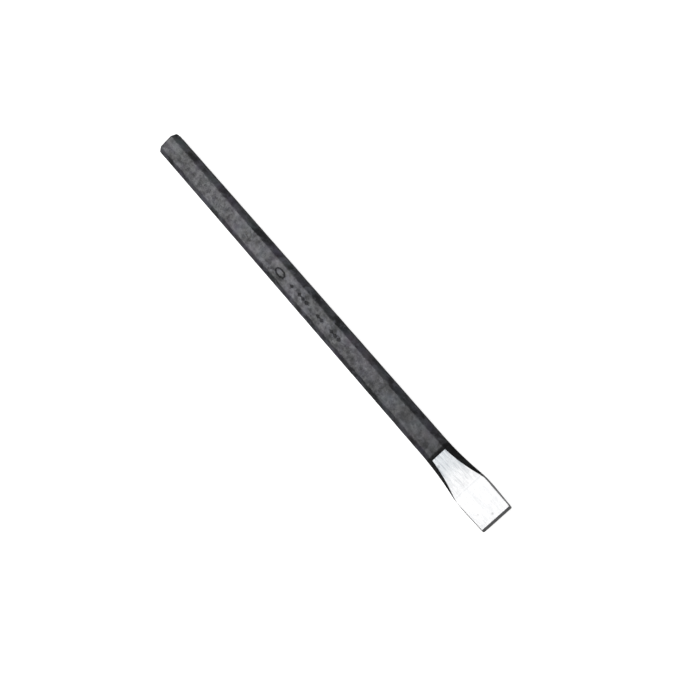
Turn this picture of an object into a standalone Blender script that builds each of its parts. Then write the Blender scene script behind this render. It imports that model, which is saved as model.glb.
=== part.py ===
"""Flat cold chisel: one steel forging, and the black finish on the faces that were never ground.

Frame: +X runs from the struck head to the cutting edge, +Y across the width and +Z up. The chisel lies on
its lower flat, and the origin is under its middle, on the surface that it lies on. Lengths are in metres.
"""

import math

import bmesh
import bpy

MM = 0.001
DEG = math.pi / 180.0

# The bar is a flattened octagon, from the head to the start of the flare.
LENGTH = 300.0 * MM
BAR_WIDTH = 15.5 * MM
BAR_THICKNESS = 11.0 * MM
BAR_CHAMFER = 3.1 * MM  # each leg of the four long 45 degree corners
HEAD_CHAMFER = 1.0 * MM  # each leg of the bevel around the struck face

# The forged end grows wider with the square of the distance from the start of the flare.
FLARE_START = 98.0 * MM
FLARE_RATE = 2.85  # growth of the half width, in metres for each square metre

# The ground cheeks: a shallow shoulder, a ramp that steepens, a flatter blade and the cutting bevel.
GRIND_START = 104.0 * MM
SHOULDER_DEPTH = 0.25 * MM
RAMP_END = 126.0 * MM
RAMP_FIRST_ANGLE = 3.0 * DEG
RAMP_LAST_ANGLE = 9.0 * DEG
BEVEL_LENGTH = 1.6 * MM
BEVEL_ROOT_THICKNESS = 2.1 * MM
EDGE_LAND = 0.1 * MM  # the blunt strip that is left along the cutting edge

# The ground sides: a round shoulder where the flare was taken back, then two sides that close in slightly.
SIDE_START = 124.0 * MM
SIDE_SHOULDER_END = 136.0 * MM
BLADE_WIDTH = 21.0 * MM
EDGE_WIDTH = 20.4 * MM
SIDE_SHOULDER_RADIUS = 88.0 * MM

# The finish is a film over the steel, drawn thicker than the real one.
FILM = 0.2 * MM
FILM_GAP = 0.3 * MM

FLARE_STEPS = 16
ARC_STEPS = 8
GUIDE_MARGIN = 5.0 * MM  # how far a guide passes the steel where it bounds nothing
TIP_MARGIN = 0.02 * MM  # how far the cheek guide passes the end of the blank
WELD_DISTANCE = 0.001 * MM
NEAR = 0.1 * MM  # a point this close to a plane counts as lying on it

HEAD_X = -LENGTH / 2
EDGE_X = LENGTH / 2
MID_Z = BAR_THICKNESS / 2


def clear_scene():
    for found in list(bpy.data.objects):
        bpy.data.objects.remove(found, do_unlink=True)


def new_collection(name):
    collection = bpy.data.collections.new(name)
    bpy.context.scene.collection.children.link(collection)
    return collection


def principled(name, color, roughness, metallic):
    material = bpy.data.materials.new(name)
    material.use_nodes = True
    shader = material.node_tree.nodes["Principled BSDF"]
    shader.inputs["Base Color"].default_value = (*color, 1.0)
    shader.inputs["Roughness"].default_value = roughness
    shader.inputs["Metallic"].default_value = metallic
    return material


def mark_as_cutter(solid):
    solid.display_type = "WIRE"
    solid.hide_render = True


def prism(name, outline, half_depth, collection):
    """The solid between two copies of a flat outline, half_depth above and below its plane."""
    curve = bpy.data.curves.new(name, "CURVE")
    curve.dimensions = "2D"
    curve.fill_mode = "BOTH"
    curve.extrude = half_depth
    spline = curve.splines.new("POLY")
    spline.points.add(len(outline) - 1)
    for point, (across, up) in zip(spline.points, outline):
        point.co = (across, up, 0.0, 1.0)
    spline.use_cyclic_u = True
    drawn = bpy.data.objects.new(name + "_outline", curve)
    collection.objects.link(drawn)
    depsgraph = bpy.context.evaluated_depsgraph_get()
    mesh = bpy.data.meshes.new_from_object(drawn.evaluated_get(depsgraph))
    mesh.name = name
    bpy.data.objects.remove(drawn, do_unlink=True)
    cage = bmesh.new()
    cage.from_mesh(mesh)
    bmesh.ops.remove_doubles(cage, verts=cage.verts, dist=WELD_DISTANCE)
    cage.to_mesh(mesh)
    cage.free()
    solid = bpy.data.objects.new(name, mesh)
    collection.objects.link(solid)
    return solid


def mirrored(half_outline):
    """The outline whose upper half is given from its left end to its right end."""
    return half_outline + [(across, -up) for across, up in reversed(half_outline)]


def bevel_edges(cage, edges, width, segments):
    bmesh.ops.bevel(
        cage,
        geom=edges,
        offset=width,
        offset_type="OFFSET",
        segments=segments,
        profile=0.5,
        affect="EDGES",
    )


def flare(along):
    """How much each side of the forging has moved out at a distance along it."""
    return FLARE_RATE * max(0.0, along - FLARE_START) ** 2


def forged_blank(name, inset, collection):
    """The forging before it was ground, with every face but the blade's end moved in by inset."""
    head_x = HEAD_X + inset
    # Moving a 45 degree corner in with its neighbours shortens its legs by this share of the inset.
    corner_loss = inset * (2.0 - math.sqrt(2.0))
    cage = bmesh.new()
    bmesh.ops.create_cube(cage, size=1.0)
    size = (EDGE_X - head_x, BAR_WIDTH - 2.0 * inset, BAR_THICKNESS - 2.0 * inset)
    bmesh.ops.scale(cage, vec=size, verts=cage.verts)
    bmesh.ops.translate(cage, vec=((EDGE_X + head_x) / 2, 0.0, 0.0), verts=cage.verts)
    long_edges = [edge for edge in cage.edges if edge.calc_length() > LENGTH / 2]
    bevel_edges(cage, long_edges, BAR_CHAMFER - corner_loss, 1)
    head_edges = [edge for edge in cage.edges if all(vert.co.x < head_x + NEAR for vert in edge.verts)]
    bevel_edges(cage, head_edges, HEAD_CHAMFER - corner_loss, 2)
    for step in range(FLARE_STEPS):
        station = FLARE_START + (EDGE_X - FLARE_START) * step / FLARE_STEPS
        everything = cage.verts[:] + cage.edges[:] + cage.faces[:]
        bmesh.ops.bisect_plane(cage, geom=everything, plane_co=(station, 0.0, 0.0), plane_no=(1.0, 0.0, 0.0))
    for vert in cage.verts:
        vert.co.y += math.copysign(flare(vert.co.x), vert.co.y)
    mesh = bpy.data.meshes.new(name)
    cage.to_mesh(mesh)
    cage.free()
    blank = bpy.data.objects.new(name, mesh)
    blank.location.z = MID_Z
    collection.objects.link(blank)
    return blank


def cheek_outline():
    """What grinding the cheeks leaves, seen from the side: depths are above and below the middle plane."""
    half = [
        (HEAD_X - GUIDE_MARGIN, BAR_THICKNESS),
        (GRIND_START, BAR_THICKNESS),
    ]
    depth = BAR_THICKNESS / 2 - SHOULDER_DEPTH
    step_length = (RAMP_END - GRIND_START) / ARC_STEPS
    half.append((GRIND_START, depth))
    for step in range(ARC_STEPS):
        share = (step + 0.5) / ARC_STEPS
        angle = RAMP_FIRST_ANGLE + (RAMP_LAST_ANGLE - RAMP_FIRST_ANGLE) * share
        depth -= step_length * math.tan(angle)
        half.append((GRIND_START + step_length * (step + 1), depth))
    half.append((EDGE_X - BEVEL_LENGTH, BEVEL_ROOT_THICKNESS / 2))
    bevel_slope = (BEVEL_ROOT_THICKNESS - EDGE_LAND) / 2 / BEVEL_LENGTH
    half.append((EDGE_X + TIP_MARGIN, EDGE_LAND / 2 - bevel_slope * TIP_MARGIN))
    return mirrored(half)


def side_outline():
    """What grinding the sides leaves, seen from above."""
    half = [
        (HEAD_X - GUIDE_MARGIN, BLADE_WIDTH),
        (SIDE_START, BLADE_WIDTH),
    ]
    for step in range(ARC_STEPS + 1):
        back = (SIDE_SHOULDER_END - SIDE_START) * (1.0 - step / ARC_STEPS)
        half.append((SIDE_SHOULDER_END - back, BLADE_WIDTH / 2 - back**2 / (2.0 * SIDE_SHOULDER_RADIUS)))
    taper = (BLADE_WIDTH - EDGE_WIDTH) / 2 / (EDGE_X - SIDE_SHOULDER_END)
    half.append((EDGE_X + GUIDE_MARGIN, EDGE_WIDTH / 2 - taper * GUIDE_MARGIN))
    return mirrored(half)


def grinding_guides(collection):
    """The two solids that a ground piece must stay inside: one bounds its cheeks, the other its sides."""
    cheeks = prism("cheek_guide", cheek_outline(), BLADE_WIDTH, collection)
    cheeks.rotation_euler.x = math.pi / 2
    cheeks.location.z = MID_Z
    sides = prism("side_guide", side_outline(), BAR_THICKNESS, collection)
    sides.location.z = MID_Z
    for guide in (cheeks, sides):
        mark_as_cutter(guide)
    return cheeks, sides


def add_boolean(target, cutter, operation):
    cut = target.modifiers.new(cutter.name, "BOOLEAN")
    cut.object = cutter
    cut.operation = operation
    cut.solver = "EXACT"


def forged_steel_body(parts, guides):
    """The steel under the finish, which comes out to its full size where it is ground."""
    body = forged_blank("forged_steel_body", FILM + FILM_GAP, parts)
    for guide in guides:
        add_boolean(body, guide, "INTERSECT")
    body.data.materials.append(principled("ground_steel", (0.72, 0.73, 0.74), 0.28, 1.0))
    return body


def black_coating(parts, cutters, guides):
    """The finish on the head, the shank and the tails beside the blade, open where the grinding begins."""
    coating = forged_blank("black_coating", 0.0, parts)
    hollow = forged_blank("coating_hollow", FILM, cutters)
    mark_as_cutter(hollow)
    for guide in guides:
        add_boolean(coating, guide, "INTERSECT")
    add_boolean(coating, hollow, "DIFFERENCE")
    coating.data.materials.append(principled("black_finish", (0.045, 0.046, 0.05), 0.42, 0.0))
    return coating


def main():
    clear_scene()
    parts = new_collection("cold_chisel")
    cutters = new_collection("cutters")
    guides = grinding_guides(cutters)
    forged_steel_body(parts, guides)
    black_coating(parts, cutters, guides)


main()
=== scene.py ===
"""Looks of the flat cold chisel: a steel forging that is ground bright at the blade, and its black finish.

Both pieces are lofted from one family of sections. The section is an octagon given by how far each of its
eight faces lies from the chisel's middle line, so that a face can be a forged one, which is black and a
little uneven, or a ground one, which is bare steel and cuts the forged ones off cleanly.
"""

import math

import bmesh
import bpy
from mathutils import Matrix, Vector, noise


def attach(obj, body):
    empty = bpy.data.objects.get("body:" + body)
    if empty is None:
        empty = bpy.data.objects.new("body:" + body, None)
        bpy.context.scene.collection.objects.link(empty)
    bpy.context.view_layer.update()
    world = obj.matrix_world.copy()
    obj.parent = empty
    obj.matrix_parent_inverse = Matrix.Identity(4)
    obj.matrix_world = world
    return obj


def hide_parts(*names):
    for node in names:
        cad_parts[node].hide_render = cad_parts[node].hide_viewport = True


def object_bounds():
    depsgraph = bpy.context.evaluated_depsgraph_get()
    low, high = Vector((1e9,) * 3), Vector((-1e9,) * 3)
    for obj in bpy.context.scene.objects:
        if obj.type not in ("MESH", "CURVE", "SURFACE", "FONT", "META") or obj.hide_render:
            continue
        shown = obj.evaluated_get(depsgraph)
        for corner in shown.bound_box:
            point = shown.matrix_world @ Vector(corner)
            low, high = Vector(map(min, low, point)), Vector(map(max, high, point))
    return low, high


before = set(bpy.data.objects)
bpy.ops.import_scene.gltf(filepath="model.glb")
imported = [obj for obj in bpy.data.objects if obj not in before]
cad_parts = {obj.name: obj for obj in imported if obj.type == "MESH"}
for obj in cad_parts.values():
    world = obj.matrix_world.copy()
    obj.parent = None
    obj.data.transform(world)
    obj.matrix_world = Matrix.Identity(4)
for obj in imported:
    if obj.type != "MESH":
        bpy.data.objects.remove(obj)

CAD_LOW, CAD_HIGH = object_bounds()

MM = 0.001
DEG = math.pi / 180.0

# The sizes that the frame gives.
HEAD_X = CAD_LOW.x
EDGE_X = CAD_HIGH.x
MID_Z = (CAD_LOW.z + CAD_HIGH.z) / 2
BAR_THICKNESS = CAD_HIGH.z - CAD_LOW.z
BLADE_WIDTH = CAD_HIGH.y - CAD_LOW.y

# The forging, with the CAD's own values.
BAR_WIDTH = 15.5 * MM
BAR_CHAMFER = 3.1 * MM
HEAD_CHAMFER = 1.0 * MM
FLARE_START = 98.0 * MM
FLARE_RATE = 2.85

# The ground cheeks and sides, with the CAD's own values.
GRIND_START = 104.0 * MM
SHOULDER_DEPTH = 0.25 * MM
RAMP_END = 126.0 * MM
RAMP_FIRST_ANGLE = 3.0 * DEG
RAMP_LAST_ANGLE = 9.0 * DEG
BEVEL_LENGTH = 1.6 * MM
BEVEL_ROOT_THICKNESS = 2.1 * MM
EDGE_LAND = 0.1 * MM
SIDE_START = 124.0 * MM
SIDE_SHOULDER_END = 136.0 * MM
SIDE_SHOULDER_RADIUS = 88.0 * MM
EDGE_WIDTH = 20.4 * MM

# What the looks add to the CAD's shape. All of it is taken off the outside, so nothing leaves the CAD's box.
FILM = 0.2 * MM
FILM_GAP = 0.04 * MM
FILM_TAIL_END = 131.0 * MM
FILM_TAIL_SHARE = 0.15  # the film's thickness at the end of its tails, as a share of FILM
NARROWEST_TAIL = 0.05 * MM
FORGED_CORNER_RADIUS = 1.1 * MM
TAIL_CORNER_SHARE = 0.15  # what is left of that radius where the sides' grinding starts
GROUND_CORNER_RADIUS = 0.06 * MM
CORNER_LIMIT = 0.4  # no corner takes more than this share of the narrower face beside it
BROKEN_EDGE = 0.55 * MM  # how much is taken off the blade's long edges
BROKEN_EDGE_LIMIT = 0.6  # but never more than this share of half the thickness
BROKEN_EDGE_START = FILM_TAIL_END - 4.0 * MM  # where it begins to grow from its first share to the whole
BROKEN_EDGE_GROWTH = 9.0 * MM
BROKEN_EDGE_FIRST_SHARE = 0.15
TIP_CORNER_RADIUS = 0.7 * MM
SHOULDER_RUN = 0.15 * MM  # length of the little step where the grinding starts
ROLLED_LENGTH = 1.4 * MM  # where the wheel rolled the finish over, just before that step
ROLLED_DEPTH = 0.22 * MM
HEAD_ROUNDING = 1.25  # 1 makes the head's bevel a quarter round, and 2 a flat chamfer

# Unevenness: how deep, and how long from one hollow to the next.
WOBBLE_DEPTH = 0.08 * MM
WOBBLE_LENGTH = 11.0 * MM
FLAT_WOBBLE_SHARE = 0.35  # the wide flats are straighter than the other faces
WOBBLE_PLACE = 4.1  # where in the noise the wobble is, and how far apart the faces are there
WOBBLE_SPACING = 17.3
HOLLOW_DEPTH = 0.09 * MM
HOLLOW_LENGTH = 5.0 * MM
HOLLOW_FADE = 4.0 * MM  # the length before the grinding over which the hollows die out
PIT_DEPTH = 0.07 * MM
PIT_LENGTH = 1.9 * MM
PIT_THRESHOLD = 0.12  # noise above this makes a pit
HEAD_DENT_SHARE = 1.4  # how deep the dents of the head's end are, against the hollows
HEAD_DENT_SQUEEZE = 1.7  # how many times closer together they are
GRINDING_WAVE_DEPTH = 0.012 * MM
GRINDING_WAVE_LENGTH = 14.0 * MM
GRINDING_WAVE_WIDTH = 2.2 * MM
EDGE_NICK_DEPTH = 0.08 * MM
EDGE_NICK_LENGTH = 0.9 * MM
EDGE_NICK_REACH = 0.1 * MM  # only points this near the cutting edge are nicked
EDGE_NICK_PLACE = 8.0  # where in the noise they are

# How the finish differs from place to place, and where shade is painted into it.
WEAR_REACH = 0.55 * MM  # how far the rubbing of a forged edge reaches
HANDLED_MIDDLE = -8.0 * MM  # middle of the stretch where hands have rubbed it paler
HANDLED_REACH = 52.0 * MM
SHADE_BAND_START = GRIND_START - 3.1 * MM  # from here on, a band of painted shade makes it dark and dull up to the grinding
SHADE_BAND_FADE = 1.4 * MM
SHADE_BAND_RAGGED_DEPTH = 0.7 * MM
SHADE_BAND_RAGGED_LENGTH = 2.2 * MM
SHADE_RAMP_START = 45.0 * MM  # from here on, painted shade makes it grow a little darker towards the blade
SHADE_RAMP_LENGTH = 50.0 * MM
SHADE_RAMP_SHARE = 0.18

# Colours, as linear red, green and blue.
FILM_DARK = (0.007, 0.0072, 0.0092)
FILM_PALE = (0.079, 0.080, 0.094)
FILM_RUBBED = (0.135, 0.137, 0.160)
FILM_GRAIN = (0.11, 0.11, 0.115)
FILM_PITS = (0.008, 0.008, 0.009)
FILM_WORN = (0.20, 0.20, 0.205)
# The darkest black is painted shade, laid in a band along the grinding's edge.
FILM_PAINTED_SHADE = (0.002, 0.002, 0.0024)
# Near black, painted shade in the stamp's recesses.
FILM_RECESS_SHADE = (0.004, 0.004, 0.004)
TINT_SHARE, PIT_SHARE, WORN_SHARE, RECESS_SHADE_SHARE = 0.3, 0.6, 0.55, 0.75  # how strong each of them is
# the band of painted shade is made dull as well
SHADE_BAND_ROUGHNESS = 0.95
STEEL_BRIGHT = (0.90, 0.90, 0.905)
STEEL_AT_ROOT = (0.62, 0.645, 0.665)
STEEL_STREAKS = (0.40, 0.43, 0.46)
STEEL_SCRATCHES = (0.55, 0.55, 0.57)
STEEL_FINE_LINES = (0.45, 0.45, 0.47)
STEEL_CLOUDS = (0.55, 0.56, 0.58)
STEEL_SPOTS = (0.25, 0.25, 0.26)
# A grey line of painted shade along the crease where the ramp meets the blade.
STEEL_CREASE_SHADE = (0.50, 0.51, 0.53)
STEEL_ROOT_START = GRIND_START + 2.0 * MM  # the grey of the root fades between these two
STEEL_ROOT_END = RAMP_END + 2.0 * MM
# where that line of painted shade lies
STEEL_CREASE_SHADE_PLACE = RAMP_END + 1.0 * MM
STEEL_SPOT_SPACING = 7.5 * MM

# The studio. Radiances are what a surface facing the light sees of it.
SOFTBOXES = (  # name, place, width, depth and radiance
    ("overhead_softbox", (0.12, -0.14, 1.0), 0.8, 0.8, 1.04),
    ("head_softbox", (-0.57, -0.20, 1.0), 0.68, 0.8, 3.7),
)
SURROUNDINGS_RADIANCE = 0.22
SURROUNDINGS_BEYOND_EDGE = 0.08
DIMMING_START, DIMMING_END = 0.35, 0.8  # they dim between these, as a unit direction turns towards +X
FLOOR_SIZE = 12.0
FLOOR_DROP = 0.02 * MM  # how far the floor is below the chisel
FLOOR_GREY = (0.24, 0.24, 0.24, 1.0)
FLOOR_GLOW = 0.82

# The view: where the camera is and what it looks at, from the middle of the chisel.
CAMERA_PLACE = Vector((180.0, 89.0, 518.5)) * MM
CAMERA_TARGET = Vector((25.9, 0.2, 0.0)) * MM
CAMERA_ROLL = -72.4 * DEG
LENS = 50.0
SENSOR_WIDTH = 36.0
CLIP_END = 50.0

# The stamp on the upper flat: a plain oval ring, then rows of plain lozenges that get fainter.
OVAL_MIDDLE = -35.0 * MM
OVAL_LENGTH = 8.0 * MM
OVAL_WIDTH = 4.6 * MM
OVAL_LINE = 0.8 * MM
OVAL_DEPTH = 0.12 * MM
OVAL_STEPS = 28
LOZENGE_LENGTH = 3.0 * MM
LOZENGE_WIDTH = 2.3 * MM
LOZENGE_PITCH = 3.3 * MM
LOZENGE_ROWS = ((-24.0, 1, 0.16), (-17.0, 3, 0.16), (0.0, 2, 0.11), (12.0, 3, 0.09))  # start, count, depth
STAMP_HEIGHT = 1.0 * MM
WELD_DISTANCE = 0.001 * MM

SHARP_ANGLE = 28.0 * DEG  # creases above this are shaded as edges

# How finely the loft is divided.
BAR_STEP = 1.0 * MM
BLADE_STEP = 0.5 * MM
FACE_SEGMENTS = (8, 6, 14, 6, 8, 6, 14, 6)
CORNER_SEGMENTS = 3
HEAD_FACE_RINGS = 6
HEAD_BEVEL_STEPS = 8
ROLLED_STEPS = 6
BEVEL_STEPS = 8
STEP_TOLERANCE = 0.01  # a stretch this share of a step too long gets no extra ring

FACE_COUNT = len(FACE_SEGMENTS)
SIDES, CHAMFERS, FLATS = (0, 4), (1, 3, 5, 7), (2, 6)
ROOT_TWO = math.sqrt(2.0)


def smooth(share):
    share = min(1.0, max(0.0, share))
    return share * share * (3.0 - 2.0 * share)


def face_normal(face):
    """Which way a face of the section looks, as (y, z). Face 0 looks along +Y and face 2 along +Z."""
    turn = face * math.pi / 4
    return Vector((math.cos(turn), math.sin(turn)))


# ---- The section at a distance along the chisel


def flare(along):
    """How much each side of the forging has moved out at a distance along it."""
    return FLARE_RATE * max(0.0, along - FLARE_START) ** 2


def wobble(face, along):
    """How far a forged face lies in at a distance along it, from the hammering."""
    depth = WOBBLE_DEPTH * (FLAT_WOBBLE_SHARE if face in FLATS else 1.0)
    place = Vector((along / WOBBLE_LENGTH, WOBBLE_SPACING * face, WOBBLE_PLACE))
    return depth * (0.5 + 0.5 * noise.noise(place))


def cheek(along):
    """Half the thickness that grinding the cheeks leaves, or more than the bar's where they aren't ground."""
    if along <= GRIND_START:
        return BAR_THICKNESS
    depth = BAR_THICKNESS / 2 - SHOULDER_DEPTH
    ramp_length = RAMP_END - GRIND_START
    run = min(along, RAMP_END) - GRIND_START
    steepening = (RAMP_LAST_ANGLE - RAMP_FIRST_ANGLE) * run / (2.0 * ramp_length)
    depth -= run * math.tan(RAMP_FIRST_ANGLE + steepening)
    bevel_start = EDGE_X - BEVEL_LENGTH
    if along > RAMP_END:
        share = (min(along, bevel_start) - RAMP_END) / (bevel_start - RAMP_END)
        depth += (BEVEL_ROOT_THICKNESS / 2 - depth) * share
    if along > bevel_start:
        depth += (EDGE_LAND - BEVEL_ROOT_THICKNESS) / 2 * (along - bevel_start) / BEVEL_LENGTH
    return depth


def side(along):
    """Half the width that grinding the sides leaves, or more than the bar's where they aren't ground."""
    if along < SIDE_START:
        return BLADE_WIDTH
    if along < SIDE_SHOULDER_END:
        return BLADE_WIDTH / 2 - (SIDE_SHOULDER_END - along) ** 2 / (2.0 * SIDE_SHOULDER_RADIUS)
    taper = (BLADE_WIDTH - EDGE_WIDTH) / 2 / (EDGE_X - SIDE_SHOULDER_END)
    half = BLADE_WIDTH / 2 - taper * (along - SIDE_SHOULDER_END)
    past = min(TIP_CORNER_RADIUS, max(0.0, along - (EDGE_X - TIP_CORNER_RADIUS)))
    return half - TIP_CORNER_RADIUS + math.sqrt(TIP_CORNER_RADIUS**2 - past**2)


def rolled_depth(along):
    """How far the flats are rolled over just before the grinding starts: a quarter of an ellipse."""
    share = min(1.0, max(0.0, (along - GRIND_START) / ROLLED_LENGTH + 1.0))
    return ROLLED_DEPTH * (1.0 - math.sqrt(1.0 - share**2))


def corner_radius(along):
    """The forged corners grow sharper beside the ground cheeks."""
    past = smooth((along - GRIND_START) / (SIDE_START - GRIND_START))
    return FORGED_CORNER_RADIUS * (1.0 - (1.0 - TAIL_CORNER_SHARE) * past)


def broken_edge(along):
    """How much is taken off the blade's long edges: little beside the film's tails, which narrow first."""
    grown = smooth((along - BROKEN_EDGE_START) / BROKEN_EDGE_GROWTH)
    share = BROKEN_EDGE_FIRST_SHARE + (1.0 - BROKEN_EDGE_FIRST_SHARE) * grown
    return min(BROKEN_EDGE * share, BROKEN_EDGE_LIMIT * cheek(along))


def film_share(along):
    """The film thins out along its tails."""
    return 1.0 - (1.0 - FILM_TAIL_SHARE) * smooth((along - GRIND_START) / (FILM_TAIL_END - GRIND_START))


def section_faces(along, inset):
    """How far out each face of the section is, and which faces are still the forged ones."""
    inset *= film_share(along)
    out, forged = [0.0] * FACE_COUNT, [True] * FACE_COUNT
    for face in SIDES:
        out[face] = BAR_WIDTH / 2 + flare(along) - inset - wobble(face, along)
        if side(along) < out[face] + inset:
            out[face], forged[face] = side(along), False
    for face in FLATS:
        out[face] = BAR_THICKNESS / 2 - inset - wobble(face, along) - rolled_depth(along)
        if along > GRIND_START:
            out[face], forged[face] = cheek(along), False
    for face in CHAMFERS:
        reach = BAR_WIDTH / 2 + flare(along) + BAR_THICKNESS / 2 - BAR_CHAMFER
        out[face] = reach / ROOT_TWO - inset - wobble(face, along)
        beside = out[face - 1] + out[(face + 1) % FACE_COUNT]
        broken = broken_edge(along)
        if beside - (out[face] + inset) * ROOT_TWO < max(NARROWEST_TAIL, broken):
            forged[face] = False
        out[face] = min(out[face], (beside - broken) / ROOT_TWO)
    return out, forged


def corner_between(out, face):
    """Where a face of the section meets the next one round."""
    following = (face + 1) % FACE_COUNT
    first, second = face_normal(face), face_normal(following)
    across = first.x * second.y - first.y * second.x
    return Vector(
        (
            (out[face] * second.y - out[following] * first.y) / across,
            (out[following] * first.x - out[face] * second.x) / across,
        )
    )


def section_ring(along, inset, shrink):
    """The section's points and their normals, from the middle of its +Y side and round by way of the top."""
    out, forged = section_faces(along, inset)
    out = [distance - shrink for distance in out]
    corners = [corner_between(out, face) for face in range(FACE_COUNT)]
    lengths = [(corners[face] - corners[face - 1]).length for face in range(FACE_COUNT)]
    arcs = []
    for face in range(FACE_COUNT):
        following = (face + 1) % FACE_COUNT
        radius = corner_radius(along) if forged[face] and forged[following] else GROUND_CORNER_RADIUS
        room = CORNER_LIMIT * min(lengths[face], lengths[following])
        radius = min(radius, room / math.tan(math.pi / 8))
        between = (face_normal(face) + face_normal(following)).normalized()
        centre = corners[face] - between * radius / math.cos(math.pi / 8)
        arc = []
        for step in range(CORNER_SEGMENTS + 1):
            turn = (face + step / CORNER_SEGMENTS) * math.pi / 4
            normal = Vector((math.cos(turn), math.sin(turn)))
            arc.append((centre + normal * radius, normal))
        arcs.append(arc)
    ring = []
    for face in range(FACE_COUNT):
        start, end = arcs[face - 1][-1][0], arcs[face][0][0]
        for step in range(FACE_SEGMENTS[face]):
            ring.append((start.lerp(end, step / FACE_SEGMENTS[face]), face_normal(face)))
        ring.extend(arcs[face][:-1])
    half_side = FACE_SEGMENTS[0] // 2
    return ring[half_side:] + ring[:half_side]


def ring_faces():
    """For each edge of a ring, the face or the two faces of the section that it belongs to."""
    faces = []
    for face in range(FACE_COUNT):
        faces.extend([(face,)] * FACE_SEGMENTS[face])
        faces.extend([(face, (face + 1) % FACE_COUNT)] * CORNER_SEGMENTS)
    half_side = FACE_SEGMENTS[0] // 2
    return faces[half_side:] + faces[:half_side]


# ---- The loft along the chisel


def stations(inset):
    """Each ring's distance along, how far the head's bevel shrinks it, and its scale on the struck face."""
    radius = HEAD_CHAMFER - inset / 2
    found = []
    for ring in range(1, HEAD_FACE_RINGS):
        found.append((HEAD_X + inset, radius, ring / HEAD_FACE_RINGS))
    for step in range(HEAD_BEVEL_STEPS + 1):
        turn = math.pi / 2 * step / HEAD_BEVEL_STEPS
        run = radius * (1.0 - math.cos(turn) ** HEAD_ROUNDING)
        shrink = radius * (1.0 - math.sin(turn) ** HEAD_ROUNDING)
        found.append((HEAD_X + inset + run, shrink, 1.0))
    rolled_start = GRIND_START - ROLLED_LENGTH
    bevel_start = EDGE_X - BEVEL_LENGTH
    # Each stretch's start, end, step and first ring. Only the ground one starts with a ring of its own.
    stretches = (
        (HEAD_X + HEAD_CHAMFER + inset, FLARE_START, BAR_STEP, 1),
        (FLARE_START, rolled_start, BLADE_STEP, 1),
        (rolled_start, GRIND_START, ROLLED_LENGTH / ROLLED_STEPS, 1),
        (GRIND_START + SHOULDER_RUN, bevel_start, BLADE_STEP, 0),
        (bevel_start, EDGE_X, BEVEL_LENGTH / BEVEL_STEPS, 1),
    )
    for start, end, step, first in stretches:
        count = math.ceil((end - start) / step - STEP_TOLERANCE)
        for number in range(first, count + 1):
            found.append((start + (end - start) * number / count, 0.0, 1.0))
    return found


def hollow_depth(place):
    """How far in the forged surface lies at a place, from hammering and scale."""
    hollow = 0.5 + 0.5 * noise.noise(place / HOLLOW_LENGTH)
    pit = max(0.0, noise.noise(place / PIT_LENGTH) - PIT_THRESHOLD)
    return HOLLOW_DEPTH * hollow + PIT_DEPTH * pit


def loft(inset):
    """Rows of points over the whole chisel, one row for each station."""
    rows = []
    for along, shrink, scale in stations(inset):
        row = []
        for flat, normal in section_ring(along, inset, shrink):
            place = Vector((along, flat.x * scale, flat.y * scale))
            if along < GRIND_START:
                fade = smooth((GRIND_START - along) / HOLLOW_FADE)
                depth = hollow_depth(place) * fade
                if shrink > 0.0 or scale < 1.0:
                    place.x += HEAD_DENT_SHARE * hollow_depth(place * HEAD_DENT_SQUEEZE)
                place -= Vector((0.0, *normal)) * depth * scale
            elif along < EDGE_X - BEVEL_LENGTH:
                ripple = (place.x / GRINDING_WAVE_LENGTH, place.y / GRINDING_WAVE_WIDTH, normal.y)
                wave = noise.noise(Vector(ripple))
                place -= Vector((0.0, *normal)) * GRINDING_WAVE_DEPTH * (1.0 + wave)
            if along > EDGE_X - EDGE_NICK_REACH:
                nick = 0.5 + 0.5 * noise.noise(Vector((place.y / EDGE_NICK_LENGTH, 0.0, EDGE_NICK_PLACE)))
                place.x -= EDGE_NICK_DEPTH * nick**3
            row.append(place + Vector((0.0, 0.0, MID_Z)))
        rows.append(row)
    return rows


def black_mask(faces_of_edge):
    """For each strip between two stations, which of its faces the black finish covers."""
    states = [section_faces(along, 0.0)[1] for along, _, _ in stations(0.0)]
    mask = []
    for before, after in zip(states, states[1:]):
        mask.append([all(before[face] and after[face] for face in faces) for faces in faces_of_edge])
    return mask


def add_rows(cage, rows):
    return [[cage.verts.new(place) for place in row] for row in rows]


def strip_corners(rows, row, column):
    following = (column + 1) % len(rows[row])
    return [rows[row][column], rows[row + 1][column], rows[row + 1][following], rows[row][following]]


def add_head_fan(cage, row, reverse):
    """Closes the middle of the struck face."""
    middle = sum((vert.co for vert in row), Vector()) / len(row)
    centre = cage.verts.new(middle)
    for first, second in zip(row, row[1:] + row[:1]):
        cage.faces.new((second, first, centre) if reverse else (first, second, centre))


def add_edge_land(cage, row):
    """Closes the cutting edge, whose ring folds onto itself from top to bottom.

    The points of each side stand in one upright line there, so they all belong to the outermost polygon.
    """
    half, upright = len(row) // 2, FACE_SEGMENTS[0] // 2
    upper = row[: half + 1]
    lower = row[:1] + row[: half - 1 : -1]
    breaks = [0, *range(upright + 1, half - upright), half]
    for start, end in zip(breaks, breaks[1:]):
        outline = upper[start : end + 1] + lower[start : end + 1][::-1]
        cage.faces.new(list(dict.fromkeys(outline)))


def finish_mesh(cage, name, body, replaced, material):
    bmesh.ops.recalc_face_normals(cage, faces=cage.faces)
    mesh = bpy.data.meshes.new(name)
    cage.to_mesh(mesh)
    cage.free()
    mesh.shade_smooth()
    mesh.set_sharp_from_angle(angle=SHARP_ANGLE)
    piece = bpy.data.objects.new(name, mesh)
    bpy.context.scene.collection.objects.link(piece)
    mesh.materials.append(material)
    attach(piece, body)
    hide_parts(replaced)
    return piece


def steel_cage():
    cage = bmesh.new()
    rows = add_rows(cage, loft(FILM + FILM_GAP))
    for row in range(len(rows) - 1):
        for column in range(len(rows[row])):
            cage.faces.new(strip_corners(rows, row, column))
    add_head_fan(cage, rows[0], False)
    add_edge_land(cage, rows[-1])
    return cage


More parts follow.
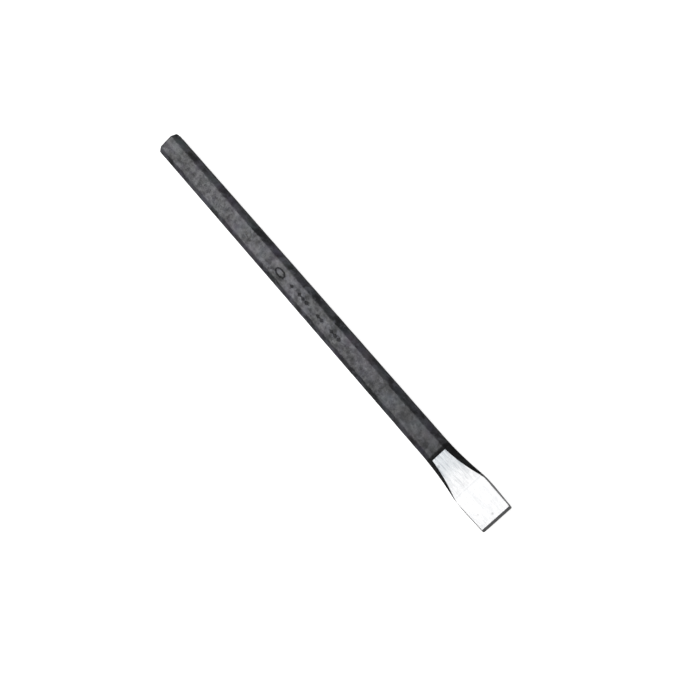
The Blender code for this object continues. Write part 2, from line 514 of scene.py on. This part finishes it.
def film_cage():
    """The film as a closed shell: its outside, its inside, and a rim along every border of the two."""
    mask = black_mask(ring_faces())
    last = max(row for row, strip in enumerate(mask) if any(strip)) + 2
    cage = bmesh.new()
    outside = add_rows(cage, loft(0.0)[:last])
    inside = add_rows(cage, loft(FILM)[:last])
    partner = {}
    for outer_row, inner_row in zip(outside, inside):
        partner.update(zip(outer_row, inner_row))
    outer_faces = []
    for row in range(last - 1):
        for column, black in enumerate(mask[row]):
            if black:
                outer_faces.append(cage.faces.new(strip_corners(outside, row, column)))
                cage.faces.new(reversed(strip_corners(inside, row, column)))
    borders = [edge for face in outer_faces for edge in face.edges if len(edge.link_faces) == 1]
    head_ring = set(outside[0])
    for edge in borders:
        first, second = edge.verts
        if first in head_ring and second in head_ring:
            continue
        cage.faces.new((first, second, partner[second], partner[first]))
    add_head_fan(cage, outside[0], False)
    add_head_fan(cage, inside[0], True)
    loose = [vert for vert in cage.verts if not vert.link_faces]
    bmesh.ops.delete(cage, geom=loose, context="VERTS")
    return cage


# ---- The stamp


def oval(length, width):
    turns = [2.0 * math.pi * step / OVAL_STEPS for step in range(OVAL_STEPS)]
    return [(length / 2 * math.cos(turn), width / 2 * math.sin(turn)) for turn in turns]


def lozenge(length, width):
    return [(length / 2, 0.0), (0.0, width / 2), (-length / 2, 0.0), (0.0, -width / 2)]


def stamp_cutter(name, outlines, along, depth, material):
    """A cutter for the upper flat. A second outline leaves an island inside the first."""
    curve = bpy.data.curves.new(name, "CURVE")
    curve.dimensions = "2D"
    curve.fill_mode = "BOTH"
    curve.extrude = STAMP_HEIGHT
    for outline in outlines:
        spline = curve.splines.new("POLY")
        spline.points.add(len(outline) - 1)
        for point, (across, up) in zip(spline.points, outline):
            point.co = (across, up, 0.0, 1.0)
        spline.use_cyclic_u = True
    drawn = bpy.data.objects.new(name, curve)
    bpy.context.scene.collection.objects.link(drawn)
    mesh = bpy.data.meshes.new_from_object(drawn.evaluated_get(bpy.context.evaluated_depsgraph_get()))
    bpy.data.objects.remove(drawn, do_unlink=True)
    cage = bmesh.new()
    cage.from_mesh(mesh)
    bmesh.ops.remove_doubles(cage, verts=cage.verts, dist=WELD_DISTANCE)
    bmesh.ops.translate(cage, vec=(along, 0.0, CAD_HIGH.z - depth + STAMP_HEIGHT), verts=cage.verts)
    cage.to_mesh(mesh)
    cage.free()
    mesh.materials.append(material)
    return mesh


def stamp_cutters(material):
    island = oval(OVAL_LENGTH - 2 * OVAL_LINE, OVAL_WIDTH - 2 * OVAL_LINE)
    ring = [oval(OVAL_LENGTH, OVAL_WIDTH), island]
    cutters = [stamp_cutter("oval_cutter", ring, OVAL_MIDDLE, OVAL_DEPTH, material)]
    for start, count, depth in LOZENGE_ROWS:
        for number in range(count):
            along = start * MM + LOZENGE_PITCH * number
            outline = [lozenge(LOZENGE_LENGTH, LOZENGE_WIDTH)]
            cutters.append(stamp_cutter("lozenge_cutter", outline, along, depth * MM, material))
    return cutters


def press_stamp(piece, material):
    """Cuts the stamp's shapes into the film, which is thicker than they are deep. The cut faces take the
    given material, the black with painted shade in the recesses.
    """
    piece.data.materials.append(material)
    for mesh in stamp_cutters(material):
        cutter = bpy.data.objects.new("stamp_cutter", mesh)
        bpy.context.scene.collection.objects.link(cutter)
        cut = piece.modifiers.new("stamp", "BOOLEAN")
        cut.object = cutter
        cut.operation = "DIFFERENCE"
        cut.solver = "EXACT"
        cut.material_mode = "TRANSFER"
    depsgraph = bpy.context.evaluated_depsgraph_get()
    pressed = bpy.data.meshes.new_from_object(piece.evaluated_get(depsgraph))
    for cut in list(piece.modifiers):
        bpy.data.objects.remove(cut.object, do_unlink=True)
        piece.modifiers.remove(cut)
    piece.data = pressed


# ---- Materials

# A mix node has sockets of the same names for each kind of value, so they are picked by number.
FIRST_NUMBER, SECOND_NUMBER = 2, 3
FIRST_COLOUR, SECOND_COLOUR, MIXED_COLOUR = 6, 7, 2


class Tree:
    """Short calls for building a material's nodes."""

    def __init__(self, name):
        self.material = bpy.data.materials.new(name)
        self.material.use_nodes = True
        self.nodes = self.material.node_tree.nodes
        self.shader = self.nodes["Principled BSDF"]
        self.place = self.node("ShaderNodeTexCoord").outputs["Object"]

    def node(self, kind, **settings):
        made = self.nodes.new(kind)
        for key, value in settings.items():
            setattr(made, key, value)
        return made

    def link(self, source, target):
        self.material.node_tree.links.new(source, target)

    def fill(self, socket, value):
        if isinstance(value, bpy.types.NodeSocket):
            self.link(value, socket)
        else:
            socket.default_value = value

    def along(self):
        apart = self.node("ShaderNodeSeparateXYZ")
        self.link(self.place, apart.inputs[0])
        return apart.outputs["X"]

    def distance_from(self, station):
        return self.math("ABSOLUTE", self.math("SUBTRACT", self.along(), station), 0.0)

    def stretched(self, scale):
        mapping = self.node("ShaderNodeMapping")
        self.link(self.place, mapping.inputs["Vector"])
        mapping.inputs["Scale"].default_value = scale
        return mapping.outputs["Vector"]

    def noise(self, length, detail=2.0, roughness=0.5, vector=None, output="Fac"):
        """Noise whose blotches are about length long, in metres."""
        made = self.node("ShaderNodeTexNoise")
        self.link(vector or self.place, made.inputs["Vector"])
        made.inputs["Scale"].default_value = 1.0 / length
        made.inputs["Detail"].default_value = detail
        made.inputs["Roughness"].default_value = roughness
        return made.outputs[output]

    def ramp(self, value, low, high, to_low=0.0, to_high=1.0):
        made = self.node("ShaderNodeMapRange", interpolation_type="SMOOTHSTEP")
        self.fill(made.inputs["Value"], value)
        for name, number in (("From Min", low), ("From Max", high), ("To Min", to_low), ("To Max", to_high)):
            self.fill(made.inputs[name], number)
        return made.outputs["Result"]

    def math(self, operation, first, second):
        made = self.node("ShaderNodeMath", operation=operation)
        self.fill(made.inputs[0], first)
        self.fill(made.inputs[1], second)
        return made.outputs[0]

    def mix(self, share, first, second, blend="MIX"):
        made = self.node("ShaderNodeMix", data_type="RGBA", blend_type=blend)
        self.fill(made.inputs["Factor"], share)
        for number, colour in ((FIRST_COLOUR, first), (SECOND_COLOUR, second)):
            self.fill(made.inputs[number], (*colour, 1.0) if isinstance(colour, tuple) else colour)
        return made.outputs[MIXED_COLOUR]

    def attribute(self, name):
        return self.node("ShaderNodeAttribute", attribute_name=name).outputs["Fac"]

    def bump(self, height, distance, normal=None):
        made = self.node("ShaderNodeBump")
        self.link(height, made.inputs["Height"])
        made.inputs["Distance"].default_value = distance
        if normal is not None:
            self.link(normal, made.inputs["Normal"])
        return made.outputs["Normal"]

    def set(self, **values):
        for name, value in values.items():
            self.fill(self.shader.inputs[name.replace("_", " ")], value)


def black_finish(recess_shade=False):
    """Satin black over forged scale: blotches, grain, draw lines and rubbed edges. Painted shade makes it
    dark and dull along the grinding's edge, a little darker towards the blade, and dark in the stamp's
    recesses.
    """
    tree = Tree("stamp_recess_shade" if recess_shade else "black_finish")
    blotches = tree.noise(10.0 * MM, 4.0, 0.66)
    colour = tree.mix(tree.ramp(blotches, 0.36, 0.64), FILM_DARK, FILM_PALE)
    tints = tree.noise(11.0 * MM, 2.0, 0.5, output="Color")
    colour = tree.mix(TINT_SHARE, colour, tints, "SOFT_LIGHT")
    handled = tree.ramp(tree.distance_from(HANDLED_MIDDLE), 0.5 * HANDLED_REACH, HANDLED_REACH, 0.75, 0.50)
    flecks = tree.ramp(tree.noise(4.2 * MM, 3.0, 0.6), 0.50, 0.62)
    colour = tree.mix(tree.math("MULTIPLY", flecks, handled), colour, FILM_RUBBED)
    grain = tree.noise(0.45 * MM, 3.0, 0.7)
    colour = tree.mix(tree.ramp(grain, 0.42, 0.7, 0.0, 0.30), colour, FILM_GRAIN)
    pits = tree.ramp(tree.noise(1.1 * MM, 3.0, 0.7), 0.36, 0.42, 1.0, 0.0)
    colour = tree.mix(tree.math("MULTIPLY", pits, PIT_SHARE), colour, FILM_PITS)
    patches = tree.ramp(tree.noise(3.5 * MM, 4.0, 0.75), 0.47, 0.58)
    worn = tree.math("MULTIPLY", tree.attribute("edge_wear"), patches)
    colour = tree.mix(tree.math("MULTIPLY", worn, WORN_SHARE), colour, FILM_WORN)
    # Painted shade from the point attribute: a dark, dull band along the grinding's edge and a slow darkening
    # towards the blade.
    shade_mottle = tree.ramp(tree.noise(1.8 * MM, 3.0, 0.6), 0.35, 0.65, 0.86, 1.0)
    painted_shade = tree.math("MULTIPLY", tree.attribute("painted_shade"), shade_mottle)
    colour = tree.mix(painted_shade, colour, FILM_PAINTED_SHADE)
    # Painted shade darkens the stamp's recesses.
    if recess_shade:
        colour = tree.mix(RECESS_SHADE_SHARE, colour, FILM_RECESS_SHADE)
    rough = tree.ramp(tree.noise(3.6 * MM, 4.0, 0.7), 0.36, 0.64, 0.28, 0.58)
    rough = tree.math("MAXIMUM", rough, tree.math("MULTIPLY", painted_shade, SHADE_BAND_ROUGHNESS))
    draw_lines = tree.noise(0.6 * MM, 3.0, 0.6, vector=tree.stretched((0.04, 1.0, 1.0)))
    normal = tree.bump(tree.noise(2.6 * MM, 4.0, 0.62), 0.09 * MM)
    normal = tree.bump(draw_lines, 0.015 * MM, normal)
    normal = tree.bump(grain, 0.022 * MM, normal)
    normal = tree.bump(pits, -0.012 * MM, normal)
    tree.set(Base_Color=colour, Roughness=rough, Normal=normal, Metallic=0.0)
    tree.set(Specular_IOR_Level=0.15 if recess_shade else 0.5)
    return tree.material


def ground_steel():
    """Bright steel with lengthwise grinding lines, greyer at the root, with a faint line of painted shade
    along the crease, and grey spots.
    """
    tree = Tree("ground_steel")
    streaks = tree.noise(1.5 * MM, 4.0, 0.65, vector=tree.stretched((0.06, 1.0, 1.0)))
    scratches = tree.noise(0.35 * MM, 3.0, 0.7, vector=tree.stretched((0.03, 1.0, 1.0)))
    fine_lines = tree.noise(0.12 * MM, 2.0, 0.6, vector=tree.stretched((0.02, 1.0, 1.0)))
    at_root = tree.ramp(tree.along(), STEEL_ROOT_START, STEEL_ROOT_END, 1.0, 0.12)
    streak_share = tree.math("MULTIPLY", tree.ramp(streaks, 0.42, 0.60), at_root)
    plain = tree.mix(tree.ramp(at_root, 0.3, 1.0), STEEL_BRIGHT, STEEL_AT_ROOT)
    colour = tree.mix(streak_share, plain, STEEL_STREAKS)
    colour = tree.mix(tree.ramp(scratches, 0.52, 0.75, 0.0, 0.35), colour, STEEL_SCRATCHES)
    colour = tree.mix(tree.ramp(fine_lines, 0.5, 0.8, 0.0, 0.25), colour, STEEL_FINE_LINES)
    clouds = tree.ramp(tree.noise(6.0 * MM, 2.0, 0.5), 0.5, 0.75, 0.0, 0.18)
    colour = tree.mix(clouds, colour, STEEL_CLOUDS)
    spots = tree.node("ShaderNodeTexVoronoi", feature="F1")
    tree.link(tree.place, spots.inputs["Vector"])
    spots.inputs["Scale"].default_value = 1.0 / STEEL_SPOT_SPACING
    near = tree.ramp(spots.outputs["Distance"], 0.06, 0.15, 0.42, 0.0)
    colour = tree.mix(near, colour, STEEL_SPOTS)
    # A line of painted shade along the crease.
    crease_shade = tree.ramp(tree.distance_from(STEEL_CREASE_SHADE_PLACE), 0.2 * MM, 0.8 * MM, 0.22, 0.0)
    colour = tree.mix(crease_shade, colour, STEEL_CREASE_SHADE)
    rough = tree.ramp(scratches, 0.3, 0.7, 0.24, 0.36)
    normal = tree.bump(streaks, 0.012 * MM)
    normal = tree.bump(scratches, 0.006 * MM, normal)
    normal = tree.bump(fine_lines, 0.003 * MM, normal)
    tree.set(Base_Color=colour, Roughness=rough, Normal=normal, Metallic=1.0)
    return tree.material


# ---- The pieces


def mark_wear_and_shade(mesh):
    """Stores how near each point is to an edge of the forging, and how much painted shade darkens it: a
    ragged band along the grinding's edge, and a slow darkening towards the blade.
    """
    wear = mesh.attributes.new("edge_wear", "FLOAT", "POINT")
    painted_shade = mesh.attributes.new("painted_shade", "FLOAT", "POINT")
    for vert in mesh.vertices:
        along = vert.co.x
        out, _ = section_faces(along, 0.0)
        flat = Vector((vert.co.y, vert.co.z - MID_Z))
        room = [out[face] - face_normal(face).dot(flat) for face in range(FACE_COUNT)]
        room.append(along - HEAD_X)
        second = sorted(room)[1]
        wear.data[vert.index].value = smooth(1.0 - second / WEAR_REACH)
        # Painted shade in a ragged band along the grinding's edge.
        ragged = SHADE_BAND_RAGGED_DEPTH * noise.noise(vert.co / SHADE_BAND_RAGGED_LENGTH)
        shade_band = smooth((along + ragged - SHADE_BAND_START) / SHADE_BAND_FADE)
        # Painted shade that slowly darkens it towards the blade.
        shade_ramp = SHADE_RAMP_SHARE * smooth((along - SHADE_RAMP_START) / SHADE_RAMP_LENGTH)
        painted_shade.data[vert.index].value = max(shade_band, shade_ramp)


def steel_forging():
    return finish_mesh(
        steel_cage(), "steel_forging", "root", "forged_steel_body", ground_steel()
    )


def black_film():
    piece = finish_mesh(film_cage(), "black_film", "root", "black_coating", black_finish())
    press_stamp(piece, black_finish(recess_shade=True))
    mark_wear_and_shade(piece.data)
    return piece


# ---- The floor, the lights and the camera


def floor():
    """A floor that is pale where it is seen, and a plain grey where it is reflected or throws light."""
    bpy.ops.mesh.primitive_grid_add(x_subdivisions=2, y_subdivisions=2, size=FLOOR_SIZE)
    piece = bpy.context.object
    piece.name = "floor"
    piece.location.z = CAD_LOW.z - FLOOR_DROP
    tree = Tree("pale_floor")
    tree.set(Base_Color=FLOOR_GREY, Roughness=0.9)
    glow = tree.node("ShaderNodeEmission")
    glow.inputs["Strength"].default_value = FLOOR_GLOW
    paper = tree.node("ShaderNodeBsdfDiffuse")
    bright = tree.node("ShaderNodeAddShader")
    tree.link(glow.outputs[0], bright.inputs[0])
    tree.link(paper.outputs[0], bright.inputs[1])
    whole = tree.node("ShaderNodeMixShader")
    tree.link(tree.node("ShaderNodeLightPath").outputs["Is Camera Ray"], whole.inputs[0])
    tree.link(tree.shader.outputs[0], whole.inputs[1])
    tree.link(bright.outputs[0], whole.inputs[2])
    tree.link(whole.outputs[0], tree.nodes["Material Output"].inputs["Surface"])
    piece.data.materials.append(tree.material)


def surroundings():
    """Pale all round where it is seen, dimmer as a light, and dimmest beyond the cutting edge."""
    world = bpy.data.worlds.new("pale_surroundings")
    bpy.context.scene.world = world
    world.use_nodes = True
    nodes, links = world.node_tree.nodes, world.node_tree.links
    direction = nodes.new("ShaderNodeSeparateXYZ")
    links.new(nodes.new("ShaderNodeTexCoord").outputs["Generated"], direction.inputs[0])
    dimmer = nodes.new("ShaderNodeMapRange")
    links.new(direction.outputs["X"], dimmer.inputs["Value"])
    dimmer.inputs["From Min"].default_value = DIMMING_START
    dimmer.inputs["From Max"].default_value = DIMMING_END
    dimmer.inputs["To Min"].default_value = SURROUNDINGS_RADIANCE
    dimmer.inputs["To Max"].default_value = SURROUNDINGS_BEYOND_EDGE
    strength = nodes.new("ShaderNodeMix")
    links.new(nodes.new("ShaderNodeLightPath").outputs["Is Camera Ray"], strength.inputs[0])
    links.new(dimmer.outputs[0], strength.inputs[FIRST_NUMBER])
    strength.inputs[SECOND_NUMBER].default_value = 1.0
    background = nodes["Background"]
    background.inputs["Color"].default_value = (1.0, 1.0, 1.0, 1.0)
    links.new(strength.outputs[0], background.inputs["Strength"])


def aim(holder, position, target, roll=0.0):
    """Puts a camera or a light at a position, looking at a target, turned by roll about its own axis."""
    holder.location = position
    turn = (target - position).to_track_quat("-Z", "Y").to_matrix().to_4x4()
    holder.rotation_euler = (turn @ Matrix.Rotation(roll, 4, "Z")).to_euler()


def softbox(name, position, target, width, depth, radiance):
    light = bpy.data.lights.new(name, "AREA")
    light.shape = "RECTANGLE"
    light.size = width
    light.size_y = depth
    light.energy = radiance * math.pi * width * depth
    lamp = bpy.data.objects.new(name, light)
    lamp.visible_camera = False
    bpy.context.scene.collection.objects.link(lamp)
    aim(lamp, position, target)


def lights():
    middle = Vector((0.0, 0.0, MID_Z))
    for name, place, width, depth, radiance in SOFTBOXES:
        softbox(name, Vector(place), middle, width, depth, radiance)


def camera():
    view = bpy.data.cameras.new("camera")
    view.lens = LENS
    view.sensor_width = SENSOR_WIDTH
    view.clip_end = CLIP_END
    seat = bpy.data.objects.new("camera", view)
    bpy.context.scene.collection.objects.link(seat)
    middle = Vector((0.0, 0.0, MID_Z))
    aim(seat, CAMERA_PLACE + middle, CAMERA_TARGET + middle, CAMERA_ROLL)
    bpy.context.scene.camera = seat


steel_forging()
black_film()
floor()
surroundings()
lights()
camera()
bpy.context.scene.view_settings.view_transform = "Standard"
